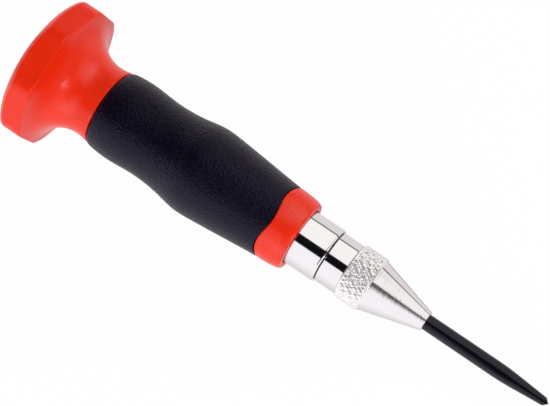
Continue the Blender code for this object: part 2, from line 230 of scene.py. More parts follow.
def turned(outline, steps=TURN_STEPS):
    """Spin an outline of (s, r) points about the tool axis."""
    bm = bmesh.new()
    verts = [bm.verts.new((-s, r, 0.0)) for s, r in outline]
    edges = [bm.edges.new(pair) for pair in zip(verts, verts[1:])]
    bmesh.ops.spin(
        bm,
        geom=verts + edges,
        cent=(0.0, 0.0, 0.0),
        axis=(1.0, 0.0, 0.0),
        angle=2.0 * math.pi,
        steps=steps,
        use_merge=True,
    )
    bmesh.ops.remove_doubles(bm, verts=bm.verts, dist=WELD)
    bmesh.ops.recalc_face_normals(bm, faces=bm.faces)
    return bm


def reshape(bm, section):
    """Move each ring of a spun tube, whose rows are at s = 0, 1, 2..., to its place on section(angle)."""
    outlines = {}
    for vert in bm.verts:
        row = round(-vert.co.x)
        angle = math.atan2(vert.co.z, vert.co.y)
        key = round(angle, 5)
        if key not in outlines:
            outlines[key] = section(angle)
        s, r, turn = outlines[key][row]
        vert.co = (-s, r * math.cos(turn), r * math.sin(turn))
    bmesh.ops.remove_doubles(bm, verts=bm.verts, dist=WELD)
    bmesh.ops.recalc_face_normals(bm, faces=bm.faces)


def wavy(bm, edge_s, reach):
    """Bend the rows near an edge into the wave that collar and grip share."""
    for vert in bm.verts:
        away = abs(-vert.co.x - edge_s)
        if away < reach:
            angle = math.atan2(vert.co.z, vert.co.y)
            vert.co.x += WAVE_DEPTH * math.cos(WAVES * angle) * (1.0 - away / reach)


def piece(name, bm, material, body, node):
    """Finish a mesh in the frame's own place, riding on a body and standing for a node."""
    bmesh.ops.transform(bm, matrix=TO_FRAME, verts=bm.verts)
    mesh = bpy.data.meshes.new(name)
    bm.to_mesh(mesh)
    bm.free()
    mesh.shade_smooth()
    mesh.set_sharp_from_angle(angle=SHARP_ANGLE)
    mesh.materials.append(material)
    obj = bpy.data.objects.new(name, mesh)
    bpy.context.scene.collection.objects.link(obj)
    flats = obj.modifiers.new("even_flats", "WEIGHTED_NORMAL")
    flats.keep_sharp = True
    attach(obj, body)
    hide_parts(node)
    return obj


# Materials


class Finish:
    """A Principled material and the few nodes that its pattern needs."""

    def __init__(self, name, base, metallic, roughness):
        self.material = bpy.data.materials.new(name)
        self.material.use_nodes = True
        self.material.diffuse_color = (*base, 1.0)
        self.tree = self.material.node_tree
        self.shader = self.tree.nodes["Principled BSDF"]
        self.shader.inputs["Base Color"].default_value = (*base, 1.0)
        self.shader.inputs["Metallic"].default_value = metallic
        self.shader.inputs["Roughness"].default_value = roughness
        self.place = self.node("ShaderNodeTexCoord").outputs["Object"]
        self.bump_node = None

    def node(self, kind, **settings):
        node = self.tree.nodes.new(kind)
        for key, value in settings.items():
            setattr(node, key, value)
        return node

    def link(self, source, target):
        self.tree.links.new(source, target)

    def gloss(self, level, tint=(1.0, 1.0, 1.0)):
        self.shader.inputs["Specular IOR Level"].default_value = level
        self.shader.inputs["Specular Tint"].default_value = (*tint, 1.0)

    def stretched(self, along, around):
        mapping = self.node("ShaderNodeMapping")
        mapping.inputs["Scale"].default_value = (along, around, around)
        self.link(self.place, mapping.inputs["Vector"])
        return mapping.outputs["Vector"]

    def noise(self, scale, detail=3.0, vector=None, rough=0.5):
        noise = self.node("ShaderNodeTexNoise")
        noise.inputs["Scale"].default_value = scale
        noise.inputs["Detail"].default_value = detail
        noise.inputs["Roughness"].default_value = rough
        self.link(vector or self.place, noise.inputs["Vector"])
        return noise.outputs["Fac"]

    def cells(self, scale):
        cells = self.node("ShaderNodeTexVoronoi", feature="F1")
        cells.inputs["Scale"].default_value = scale
        self.link(self.place, cells.inputs["Vector"])
        return cells.outputs["Distance"]

    def spread(self, source, low, high, from_low=0.3, from_high=0.7):
        spread = self.node("ShaderNodeMapRange")
        spread.inputs["From Min"].default_value = from_low
        spread.inputs["From Max"].default_value = from_high
        spread.inputs["To Min"].default_value = low
        spread.inputs["To Max"].default_value = high
        self.link(source, spread.inputs["Value"])
        return spread.outputs["Result"]

    def mottle(self, source, dark, light, low=0.3, high=0.7):
        ramp = self.node("ShaderNodeValToRGB")
        ramp.color_ramp.elements[0].position = low
        ramp.color_ramp.elements[0].color = (*dark, 1.0)
        ramp.color_ramp.elements[1].position = high
        ramp.color_ramp.elements[1].color = (*light, 1.0)
        self.link(source, ramp.inputs["Fac"])
        return ramp.outputs["Color"]

    def surface(self, source):
        self.link(source, self.tree.nodes["Material Output"].inputs["Surface"])

    def colour(self, source):
        self.link(source, self.shader.inputs["Base Color"])

    def roughness(self, source):
        self.link(source, self.shader.inputs["Roughness"])

    def bump(self, source, depth, strength=1.0):
        bump = self.node("ShaderNodeBump")
        bump.inputs["Strength"].default_value = strength
        bump.inputs["Distance"].default_value = depth
        self.link(source, bump.inputs["Height"])
        if self.bump_node:
            self.link(self.bump_node.outputs["Normal"], bump.inputs["Normal"])
        self.bump_node = bump
        self.link(bump.outputs["Normal"], self.shader.inputs["Normal"])


# Scale and detail of the fine turning rings, which a stretch along the tool makes of a noise
RING_SCALE = 8.0
RING_DETAIL = 3.0

# How far turned steel varies in brightness and roughness
STEEL_DARK = 0.86
STEEL_LIGHT = 1.10
STEEL_SMOOTHER = 0.06
STEEL_ROUGHER = 0.08


def red_plastic():
    finish = Finish("red_moulded_plastic", base=(0.75, 0.019, 0.001), metallic=0.0, roughness=0.26)
    finish.gloss(0.42)
    clouds = finish.noise(90.0, detail=2.0)
    dark = (0.71, 0.016, 0.0006)
    light = (0.79, 0.022, 0.0014)
    finish.colour(finish.mottle(clouds, dark, light, low=0.0, high=1.0))
    finish.roughness(finish.spread(clouds, low=0.17, high=0.27, from_low=0.0, from_high=1.0))
    finish.bump(finish.noise(1900.0, detail=2.0), depth=0.00006, strength=0.8)
    return finish.material


def grip_rubber():
    finish = Finish("soft_black_rubber", base=(0.005, 0.0040, 0.011), metallic=0.0, roughness=0.40)
    finish.gloss(0.32, tint=(0.73, 0.65, 1.0))
    pores = finish.noise(1900.0, detail=2.0)
    dark = (0.0001, 0.0001, 0.0018)
    light = (0.0039, 0.0027, 0.0104)
    finish.colour(finish.mottle(pores, dark, light, low=0.40, high=0.60))
    finish.roughness(finish.spread(finish.noise(900.0), low=0.31, high=0.41))
    finish.bump(finish.cells(1900.0), depth=0.00018, strength=0.7)
    finish.bump(finish.noise(3600.0, detail=2.0), depth=0.00004, strength=0.5)
    return finish.material


def bright_chrome(name, ring_stretch, ring_depth, low=0.045, high=0.10, metallic=1.0):
    finish = Finish(name, base=(0.93, 0.92, 0.92), metallic=metallic, roughness=low)
    place = finish.stretched(along=ring_stretch, around=7.0)
    rings = finish.noise(RING_SCALE, RING_DETAIL, place, rough=0.6)
    haze = finish.noise(60.0, detail=2.0)
    finish.colour(finish.mottle(haze, dark=(0.91, 0.90, 0.90), light=(0.95, 0.94, 0.94)))
    finish.roughness(finish.spread(rings, low, high))
    finish.bump(rings, ring_depth, strength=0.5)
    return finish.material


def black_oxide():
    finish = Finish("black_oxide_steel", base=(0.001, 0.0008, 0.003), metallic=0.0, roughness=0.20)
    finish.gloss(0.50, tint=(0.90, 0.82, 1.0))
    rings = finish.noise(RING_SCALE, RING_DETAIL, finish.stretched(along=500.0, around=40.0))
    haze = finish.noise(700.0, detail=4.0)
    finish.colour(finish.mottle(haze, dark=(0.0008, 0.0006, 0.0028), light=(0.0016, 0.0012, 0.0042)))
    finish.roughness(finish.spread(rings, low=0.18, high=0.28))
    finish.bump(rings, depth=0.000002, strength=0.3)
    return finish.material


def turned_steel(name, base, rough):
    finish = Finish(name, base, metallic=1.0, roughness=rough)
    rings = finish.noise(RING_SCALE, RING_DETAIL, finish.stretched(along=700.0, around=30.0))
    haze = finish.noise(300.0, detail=4.0)
    dark = tuple(STEEL_DARK * part for part in base)
    light = tuple(min(1.0, STEEL_LIGHT * part) for part in base)
    finish.colour(finish.mottle(haze, dark, light))
    finish.roughness(finish.spread(rings, low=rough - STEEL_SMOOTHER, high=rough + STEEL_ROUGHER))
    finish.bump(rings, depth=0.000006, strength=0.5)
    return finish.material


def seal_rubber():
    finish = Finish("black_seal", base=(0.008, 0.008, 0.008), metallic=0.0, roughness=0.45)
    haze = finish.noise(600.0)
    finish.colour(finish.mottle(haze, dark=(0.006, 0.006, 0.006), light=(0.012, 0.012, 0.012)))
    finish.roughness(finish.spread(haze, low=0.38, high=0.52))
    finish.bump(finish.noise(3000.0, detail=2.0), depth=0.00001, strength=0.4)
    return finish.material


RED = red_plastic()
RUBBER = grip_rubber()
CHROME = bright_chrome("barrel_chrome", ring_stretch=900.0, ring_depth=0.0000006)
NOSE_CHROME = bright_chrome("nose_chrome", ring_stretch=260.0, ring_depth=0.00005)
KNURL_CHROME = bright_chrome(
    "knurl_chrome", ring_stretch=500.0, ring_depth=0.000008, low=0.14, high=0.24, metallic=0.68
)
BLACK = black_oxide()
SEAL = seal_rubber()
STEEL = turned_steel("turned_steel", base=(0.42, 0.42, 0.44), rough=0.34)
SPRING = turned_steel("spring_steel", base=(0.30, 0.31, 0.34), rough=0.28)
BRASS = turned_steel("brass_washer", base=(0.62, 0.43, 0.16), rough=0.30)


# Knob: concave flare, eight flats and a domed crown, with every ridge rounded

neck_s = knob_front + NECK_LENGTH
flange_front = neck_s + FLARE_LENGTH
flare_turn = 2.0 * math.atan2(flat_apothem - NECK_R, FLARE_LENGTH)
flare_radius = FLARE_LENGTH / math.sin(flare_turn)
crown_s = length - CROWN_RADIUS
crown_split = flat_apothem - CROWN_LAND
crown_turn = math.asin(crown_split / CROWN_RADIUS)
edge_s = crown_s + (CROWN_RADIUS - CROWN_EDGE) * math.cos(crown_turn)
edge_r = (CROWN_RADIUS - CROWN_EDGE) * math.sin(crown_turn)
diagonal_apothem = (flat_apothem + FLAT_HALF_WIDTH) / math.sqrt(2.0)
knob_bore = insert_r + FIT
KNOB_FLATS = 8
KNOB_COLUMNS = 256
COLUMN_CROWD = 0.6
FLARE_ROWS = 22
ROUND_ROWS = 6
CHAMFER_ROWS = 4
FLAT_ROWS = 3
CROWN_ROWS = 18
MOUTH_BREAK = 0.3
MOUTH_ROUND = 0.08
BEAD = 0.36
# Bead around the mouth: distance behind it, and share of the bead's height
BEAD_ROWS = (
    (0.0, 1 / 2),
    (0.12, 0.85),
    (0.36, 1.0),
    (0.9, 0.75),
    (NECK_LENGTH / 2, 1 / 3),
    (NECK_LENGTH * 0.75, 1 / 9),
)


def smooth_least(a, b, blend):
    """The smaller of two values, with a soft change from one to the other."""
    share = max(blend - abs(a - b), 0.0) / blend
    return min(a, b) - share * share * blend / 4.0


def flat_radius(angle):
    """Distance from the axis to the octagon, with blended corners."""
    quarter = math.pi / 2
    square = angle - quarter * round(angle / quarter)
    diagonal = angle - quarter / 2 - quarter * round((angle - quarter / 2) / quarter)
    return smooth_least(
        flat_apothem / math.cos(square), diagonal_apothem / math.cos(diagonal), CORNER_BLEND
    )


def flare_s(r):
    """Place along the tool of the concave flare, and of the flange's edge past the flats."""
    if r <= flat_apothem:
        return neck_s + math.sqrt(flare_radius ** 2 - (NECK_R + flare_radius - r) ** 2)
    return flange_front + FLANGE_EDGE - math.sqrt(FLANGE_EDGE ** 2 - (r - flat_apothem) ** 2)


def crown_place(r):
    """Place along the tool of the domed crown and its rounder edge."""
    if r >= crown_split:
        return edge_s + math.sqrt(CROWN_EDGE ** 2 - (r - edge_r) ** 2)
    return crown_s + math.sqrt(CROWN_RADIUS ** 2 - r ** 2)


def bent(start, corner, end, steps):
    """Points of a rounded corner after its start."""
    points = []
    for k in range(1, steps + 1):
        t = k / steps
        points.append(start * (1 - t) ** 2 + corner * (2 * t * (1 - t)) + end * t ** 2)
    return points


def knob_section(angle):
    """Rows of the knob's outline at one angle; the columns crowd towards the corners."""
    turn = angle + COLUMN_CROWD / KNOB_FLATS * math.sin(KNOB_FLATS * angle)
    flat_r = flat_radius(turn)
    rows = [
        Vector((insert_rear + RUN, 0.0)),
        Vector((insert_rear + RUN, knob_bore)),
        Vector((knob_front + MOUTH_BREAK, knob_bore)),
        Vector((knob_front + MOUTH_ROUND, knob_bore + MOUTH_ROUND)),
        Vector((knob_front, knob_bore + MOUTH_BREAK)),
    ]
    for step, share in BEAD_ROWS:
        rows.append(Vector((knob_front + step, NECK_R + BEAD * share)))
    flare_end_r = flat_r - RIDGE_ROUND
    for k in range(FLARE_ROWS + 1):
        r = NECK_R + (flare_end_r - NECK_R) * (k / FLARE_ROWS) ** 2
        rows.append(Vector((flare_s(r), r)))
    ridge = Vector((flare_s(flat_r), flat_r))
    flat_start = ridge + Vector((RIDGE_ROUND, 0.0))
    rows += bent(rows[-1], ridge, flat_start, ROUND_ROWS)
    chamfer_start = Vector((crown_place(flat_r) - RIM_CHAMFER, flat_r))
    chamfer_end_r = flat_r - RIM_CHAMFER
    chamfer_end = Vector((crown_place(chamfer_end_r), chamfer_end_r))
    slope = (chamfer_end - chamfer_start).normalized() * RIM_ROUND
    flat_end = chamfer_start - Vector((RIM_ROUND, 0.0))
    for k in range(1, FLAT_ROWS + 1):
        rows.append(flat_start.lerp(flat_end, k / FLAT_ROWS))
    rows += bent(flat_end, chamfer_start, chamfer_start + slope, CHAMFER_ROWS)
    rows.append(chamfer_end - slope)
    crown_start_r = chamfer_end_r - RIM_ROUND
    crown_start = Vector((crown_place(crown_start_r), crown_start_r))
    rows += bent(rows[-1], chamfer_end, crown_start, CHAMFER_ROWS)
    for k in range(1, CROWN_ROWS + 1):
        r = crown_start_r * (1.0 - k / CROWN_ROWS)
        rows.append(Vector((crown_place(r), r)))
    return [(row.x, row.y, turn) for row in rows]


def make_knob():
    rows = len(knob_section(0.0))
    bm = turned([(row, 1.0) for row in range(rows)], KNOB_COLUMNS)
    reshape(bm, knob_section)
    return piece("knob_shell", bm, RED, "cap", "knob")


# Grip sleeve

GRIP_ROWS = 64
GRIP_WAVE_REACH = 3.0
GRIP_FRONT_ROUND = 0.22
GRIP_EDGE = 0.35
GRIP_EDGE_DROP = 0.22
GRIP_END_DROP = 0.60
GRIP_END_ROUND = 0.25


def grip_radius(stations, s):
    """Radius at s, on the smooth curve through the stations."""
    pairs = list(zip(stations, stations[1:]))
    a, b = next((pair for pair in pairs if s <= pair[1][0]), pairs[-1])
    span = b[0] - a[0]
    t = (s - a[0]) / span
    rise = (2 * t ** 3 - 3 * t ** 2 + 1) * a[1] + (3 * t ** 2 - 2 * t ** 3) * b[1]
    bend = (t ** 3 - 2 * t ** 2 + t) * span * a[2] + (t ** 3 - t ** 2) * span * b[2]
    return rise + bend


def make_grip():
    bore = CORE_R + FIT
    front = wave_s + SEAM
    wave_end = front + GRIP_WAVE_REACH
    stations = []
    s = wave_s
    for step, wall, slope in GRIP_STATIONS:
        s += step
        stations.append((s, bore + wall, slope))
    first_r = grip_radius(stations, front)
    last_r = stations[-1][1]
    outline = [(wave_end, bore), (front, bore), (front, first_r, GRIP_FRONT_ROUND)]
    for k in range(1, GRIP_ROWS + 1):
        here = front + (s - front) * k / GRIP_ROWS
        outline.append((here, grip_radius(stations, here)))
    outline += [
        (grip_rear - GRIP_EDGE, last_r - GRIP_EDGE_DROP),
        (grip_rear, last_r - GRIP_END_DROP, GRIP_END_ROUND),
        (grip_rear, bore),
        (wave_end, bore),
    ]
    bm = turned(rounded(outline))
    wavy(bm, front, GRIP_WAVE_REACH)
    return piece("grip_skin", bm, RUBBER, "handle", "grip_sleeve")


# Handle core with its collar

COLLAR_ROWS = 20
COLLAR_CROWD = 2.5
COLLAR_FRONT_BREAK = 0.2
COLLAR_FRONT_ROUND = 0.08
COLLAR_REAR_BREAK = 0.1
COLLAR_REAR_DROP = 0.12
COLLAR_WAVE_REACH = 3.5
CORE_STEP = 4.0


def make_core():
    bore = TUBE_R + FIT
    collar_bore = band_r + RUN
    step_s = collar_front + SHOULDER_DEPTH + RUN
    lip_r = collar_bore + COLLAR_LIP
    outline = [
        (step_s, bore),
        (step_s, collar_bore),
        (collar_front + COLLAR_FRONT_BREAK, collar_bore),
        (collar_front, collar_bore + COLLAR_FRONT_BREAK, COLLAR_FRONT_ROUND),
    ]
    for k in range(COLLAR_ROWS):
        share = (k / COLLAR_ROWS) ** COLLAR_CROWD
        rise = (1.0 - (1.0 - share) ** 2) ** COLLAR_BEND
        outline.append((collar_front + COLLAR_LENGTH * share, lip_r + (collar_r - lip_r) * rise))
    outline += [
        (wave_s - COLLAR_REAR_BREAK, collar_r),
        (wave_s, collar_r - COLLAR_REAR_DROP),
        (wave_s, CORE_R),
        (wave_s + CORE_STEP, CORE_R),
        (core_rear, CORE_R),
        (core_rear, bore),
        (step_s, bore),
    ]
    bm = turned(rounded(outline))
    wavy(bm, wave_s, COLLAR_WAVE_REACH)
    return piece("collar_and_core", bm, RED, "handle", "handle_core")


# Chrome barrel and nose

BARREL_LIP = 0.16
BARREL_LIP_LENGTH = 0.5
BARREL_LIP_ROUND = 0.08
BAND_ROUND = 0.04
SHOULDER_ROUND = 0.1
RING_GROOVE_FRONT = 0.20
RING_GROOVE_REAR = 1.30


def threaded(bm, start, end):
    """Press a right-hand thread into the rows between start and end."""
    for vert in bm.verts:
        s = -vert.co.x
        r = math.hypot(vert.co.y, vert.co.z)
        if not start < s < end or r < THREAD_R - SKIN:
            continue
        turn = s / THREAD_PITCH + math.atan2(vert.co.z, vert.co.y) / (2.0 * math.pi)
        height = min(THREAD_FLANK * abs(turn % 1.0 - 0.5), 1.0)
        ease = min(1.0, (s - start) / THREAD_PITCH, (end - s) / THREAD_PITCH)
        scale = (r - THREAD_DEPTH * (1.0 - height) * ease) / r
        vert.co.y *= scale
        vert.co.z *= scale


def make_barrel():
    bore = SPIGOT_R + FIT
    seam_r = NOSE_R - SEAM_DEPTH
    lip_r = band_r - BARREL_LIP
    shoulder = collar_front + SHOULDER_DEPTH
    groove_front = core_rear + RING_GROOVE_FRONT
    groove_rear = core_rear + RING_GROOVE_REAR
    thread_start = knob_front + THREAD_START
    thread_end = barrel_rear - THREAD_BREAK
    thread_length = thread_end - thread_start
    rows = round(thread_length / THREAD_PITCH * THREAD_ROWS)
    outline = [
        (spigot_rear + RUN, BORE_R),
        (spigot_rear + RUN, bore),
        (barrel_front, bore),
        (barrel_front, seam_r),
        (barrel_front - SEAL_COVER, seam_r),
        (barrel_front - SEAL_COVER, lip_r, BARREL_LIP_ROUND),
        (barrel_front + BARREL_LIP_LENGTH, band_r, BAND_ROUND),
        (shoulder, band_r, SHOULDER_ROUND),
        (shoulder, TUBE_R),
        (groove_front, TUBE_R),
        (groove_front, THREAD_R),
        (groove_rear, THREAD_R),
        (groove_rear, TUBE_R),
        (thread_start, TUBE_R, SHOULDER_ROUND),
        (thread_start, THREAD_R),
        *[(thread_start + thread_length * k / rows, THREAD_R) for k in range(1, rows + 1)],
        (barrel_rear, THREAD_R - THREAD_BREAK),
        (barrel_rear, BORE_R),
        (spigot_rear + RUN, BORE_R),
    ]
    bm = turned(rounded(outline), FINE_STEPS)
    threaded(bm, thread_start, thread_end)
    return piece("chrome_barrel", bm, CHROME, "handle", "barrel")


def ripple(waves, around, along):
    return math.sin(waves[0] * around + waves[1] * along)


def knurled(bm):
    """Press diamonds, each a little uneven, into the rows of the knurled ring."""
    for vert in bm.verts:
        s = -vert.co.x
        r = math.hypot(vert.co.y, vert.co.z)
        inside = min(s - knurl_front, knurl_rear - s)
        if inside < KNURL_MARGIN or r < CONE_END_R - SKIN:
            continue
        around = DIAMONDS * math.atan2(vert.co.z, vert.co.y) / (2.0 * math.pi)
        along = (s - knurl_front) / DIAMOND_PITCH
        left_sway = DIAMOND_SWAY * ripple(LEFT_SWAY, around, along)
        right_sway = DIAMOND_SWAY * ripple(RIGHT_SWAY, around, along)
        left = abs((around + along + left_sway) % 1.0 - 0.5)
        right = abs((around - along + right_sway) % 1.0 - 0.5)
        uneven = sum(size * ripple(waves, around, along) for size, *waves in DEPTH_WAVES)
        height = min(2.0 * min(0.5 - left, 0.5 - right) / DIAMOND_TOP, 1.0)
        cut = DIAMOND_DEPTH * (1.0 - height) * (1.0 + uneven) * min(1.0, inside / KNURL_RISE)
        scale = (r - cut) / r
        vert.co.y *= scale
        vert.co.z *= scale


NOSE_MOUTH = 0.3
NOSE_MOUTH_RISE = 0.12
NOSE_TIP_ROUND = 0.10
NOSE_EDGE_ROUND = 0.12
SPIGOT_BREAK = 0.4


def make_nose():
    bore = ROD_R + FIT
    front_r = bore + NOSE_LIP
    seam_r = NOSE_R - SEAM_DEPTH
    outline = [
        (CHAMBER_FRONT, bore),
        (nose_front + NOSE_MOUTH, bore),
        (nose_front, bore + NOSE_MOUTH_RISE),
        (nose_front, front_r, NOSE_TIP_ROUND),
        (knurl_front, CONE_END_R),
    ]
    rows = round(KNURL_LENGTH / DIAMOND_PITCH * DIAMOND_CUTS)
    for k in range(1, rows):
        s = knurl_front + KNURL_LENGTH * k / rows
        front_share = min(1.0, (s - knurl_front) / KNURL_RISE)
        rear_share = min(1.0, (knurl_rear - s) / KNURL_RISE)
        r = CONE_END_R + (knurl_r - CONE_END_R) * front_share
        r = min(r, NOSE_R + (knurl_r - NOSE_R) * rear_share)
        outline.append((s, r))
    seam_s = nose_rear + SEAL_COVER
    outline += [
        (knurl_rear, NOSE_R - KNURL_GROOVE),
        (knurl_rear + KNURL_GROOVE, NOSE_R),
        (knurl_rear + KNURL_GROOVE_LENGTH, NOSE_R),
        (seam_s, NOSE_R, NOSE_EDGE_ROUND),
        (seam_s, seam_r),
        (nose_rear, seam_r),
        (nose_rear, SPIGOT_R),
        (spigot_rear - SPIGOT_BREAK, SPIGOT_R),
        (spigot_rear, SPIGOT_R - SPIGOT_BREAK),
        (spigot_rear, CHAMBER_R),
        (CHAMBER_FRONT, CHAMBER_R),
        (CHAMBER_FRONT, bore),
    ]
    bm = turned(rounded(outline), DIAMONDS * DIAMOND_CUTS)
    knurled(bm)
    for face in bm.faces:
        middle = face.calc_center_median()
        if knurl_front < -middle.x < knurl_rear and middle.yz.length > SPIGOT_R:
            face.material_index = 1
    nose = piece("knurled_nose", bm, NOSE_CHROME, "handle", "nose_cone")
    nose.data.materials.append(KNURL_CHROME)
    return nose


def make_seal():
    middle = (nose_rear + barrel_front) / 2
    half = (barrel_front - nose_rear) / 2 - SEAL_SIDE
    low = SPIGOT_R + FIT
    high = NOSE_R - SEAL_SINK
    outline = [
        (middle, low),
        (middle - half, low, half * SEAL_INNER_ROUND),
        (middle - half, high, half * SEAL_OUTER_ROUND),
        (middle + half, high, half * SEAL_OUTER_ROUND),
        (middle + half, low, half * SEAL_INNER_ROUND),
        (middle, low),
    ]
    bm = turned(rounded(outline))
    return piece("nose_seal", bm, SEAL, "handle", "nose_o_ring")


# Punch point

TIP_LENGTH = 0.18
TIP_R = 0.16
POINT_ROUND = 0.25
TAPER_ROUND = 60.0
STOP_LENGTH = 2.7
STOP_ROUND = 0.2
SHANK_R = 3.2
SHANK_ROUND = 0.3
SOCKET_R = 1.75
SOCKET_DEPTH = 3.4
SOCKET_ROUND = 0.15


def make_point():
    stop_front = CHAMBER_FRONT + RUN
    stop_rear = stop_front + STOP_LENGTH
    stop_r = CHAMBER_R - RUN
    socket_floor = shank_rear - SOCKET_DEPTH
    outline = [
        (0.0, 0.0),
        (TIP_LENGTH, TIP_R),
        (POINT_R, POINT_R, POINT_ROUND),
        (TAPER_LENGTH, ROD_R, TAPER_ROUND),
        (stop_front, ROD_R),
        (stop_front, stop_r, STOP_ROUND),
        (stop_rear, stop_r, STOP_ROUND),
        (stop_rear, SHANK_R),
        (shank_rear, SHANK_R, SHANK_ROUND),
        (shank_rear, SOCKET_R, SOCKET_ROUND),
        (socket_floor, SOCKET_R),
        (socket_floor - SOCKET_R / 2, 0.0),
    ]
    bm = turned(rounded(outline), ROD_STEPS)
    return piece("black_point", bm, BLACK, "punch", "punch_point")


# Springs, each a coil in its node's place


def make_spring(node, wire):
    """Coil with closed end turns, spanning its node from front to rear."""
    front = front_of(node)
    rear = rear_of(node)
    mean_r = radius_of(node) - wire / 2
    open_turns = COIL_TURNS - 2
    lead = wire * CLOSED_LEAD
    middle = (rear - front - wire - 2.0 * lead) / open_turns
    bm = bmesh.new()
    bmesh.ops.create_circle(bm, segments=WIRE_SIDES, radius=wire / 2)
    bmesh.ops.translate(bm, verts=bm.verts, vec=(-front - wire / 2, mean_r, 0.0))
    profile = list(bm.verts) + list(bm.edges)
    for count, rise in ((1, lead), (open_turns, middle), (1, lead)):
        made = bmesh.ops.spin(
            bm,
            geom=profile,
            cent=(0.0, 0.0, 0.0),
            axis=(1.0, 0.0, 0.0),
            dvec=(-rise / COIL_STEPS, 0.0, 0.0),
            angle=2.0 * math.pi * count,
            steps=COIL_STEPS * count,
        )
        profile = made["geom_last"]
    ends = [edge for edge in bm.edges if edge.is_boundary]
    bmesh.ops.holes_fill(bm, edges=ends, sides=0)
    bmesh.ops.remove_doubles(bm, verts=bm.verts, dist=WELD)
    bmesh.ops.recalc_face_normals(bm, faces=bm.faces)
    spring = piece(node.replace("spring", "coil"), bm, SPRING, "handle", node)
    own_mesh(spring)
    return spring


make_knob()
make_grip()
make_core()
make_barrel()
make_nose()
make_seal()
make_point()
make_spring("return_spring", RETURN_WIRE)
make_spring("main_spring", MAIN_WIRE)

# Inner pieces keep the frame's own shapes
INNER = {
    "trip_pin": STEEL,
    "tilt_spring": SPRING,
    "retaining_ring": SPRING,
    "centring_ring": STEEL,
    "spring_washer": STEEL,
    "hammer": STEEL,
    "spring_seat": STEEL,
    "knob_insert": STEEL,
    "key_pin": STEEL,
    "thrust_washer": BRASS,
    "cap_o_ring": SEAL,
}
for node, material in INNER.items():
    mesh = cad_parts[node].data
    mesh.materials.clear()
    mesh.materials.append(material)


# Studio: pale floor, surround and lamps

FLOOR_TILT = math.radians(6.9)
FLOOR_SIZE = 6.0
FLOOR_DROP = 0.0002
FLOOR_WHITE = 0.97
PLAIN_LIGHT = 0.36

# Reflected surround: angle about the tool from straight up, in degrees, and colour
SURROUND = (
    (-180.0, (0.75, 0.72, 0.73)),
    (-135.0, (0.75, 0.72, 0.74)),
    (-109.0, (0.90, 0.87, 0.91)),
    (-90.0, (0.99, 0.96, 0.99)),
    (-60.0, (1.00, 0.97, 1.00)),
    (-20.0, (0.97, 0.94, 0.99)),
    (0.0, (0.30, 0.29, 0.29)),
    (30.0, (0.11, 0.10, 0.08)),
    (75.0, (0.26, 0.22, 0.16)),
    (88.0, (0.42, 0.36, 0.27)),
    (91.0, (0.12, 0.11, 0.11)),
    (95.0, (0.12, 0.11, 0.11)),
    (97.5, (0.77, 0.72, 0.73)),
    (180.0, (0.75, 0.72, 0.73)),
)

# Dark strip overhead, from one angle to another; it closes up towards the front of the tool
STRIP_LEFT = math.radians(-25.5)
STRIP_RIGHT = math.radians(8.0)
STRIP_SOFT = math.radians(2.5)
STRIP_CLOSING = (0.38, 0.48)
STRIP_COLOUR = (0.004, 0.004, 0.006)

# Pale wall behind the knob and dim room ahead of the point, by the direction's share along the tool
WALL_EDGE = (-0.55, -0.80)
WALL_COLOUR = (1.6, 1.5, 1.5)
ROOM_EDGE = (0.70, 0.90)
ROOM_COLOUR = (0.12, 0.11, 0.11)

# Cards around the tool: two edges, each an angle in degrees and two ends along the tool, and a colour
CARD_REACH = 0.30
HOOD_COLOUR = (0.006, 0.006, 0.008)
CARDS = {
    "warm_card": ((88.0, (-0.043, 0.036)), (10.0, (-0.043, 0.036)), (1.0, 0.975, 0.965)),
    "point_card": ((88.0, (0.036, 0.124)), (20.0, (0.036, 0.124)), (0.84, 0.80, 0.82)),
    "cone_card": ((88.0, (0.124, 0.20)), (14.0, (0.124, 0.20)), (0.95, 0.925, 0.915)),
    "flare_shade": ((180.0, (0.045, 0.30)), (140.0, (0.045, 0.30)), (0.48, 0.45, 0.46)),
    "dark_hood": ((62.0, (-0.70, -0.060)), (-44.0, (-0.70, -0.078)), HOOD_COLOUR),
    "point_hood": ((24.0, (0.040, 0.122)), (-56.0, (0.040, 0.122)), HOOD_COLOUR),
}

# Lamps: place and size in metres, power, colour, and whether it shows in reflections
LAMPS = {
    "cool_side": ((0.10, -0.83, 0.34), 0.7, 5.8, (0.98, 0.97, 1.0), False),
    "warm_side": ((0.20, 0.70, 0.50), 0.7, 4.8, (1.0, 0.98, 0.95), False),
    "front_fill": ((0.80, -0.15, 0.30), 0.6, 0.9, (1.0, 0.99, 0.98), False),
    "rear_fill": ((-0.75, -0.10, 0.50), 0.6, 1.4, (1.0, 0.99, 0.98), False),
    "low_side": ((0.30, -0.75, 0.10), 0.5, 1.0, (1.0, 0.98, 0.98), False),
    "front_spot": ((0.76, -0.17, 0.52), 0.16, 0.55, (1.0, 1.0, 1.0), True),
}


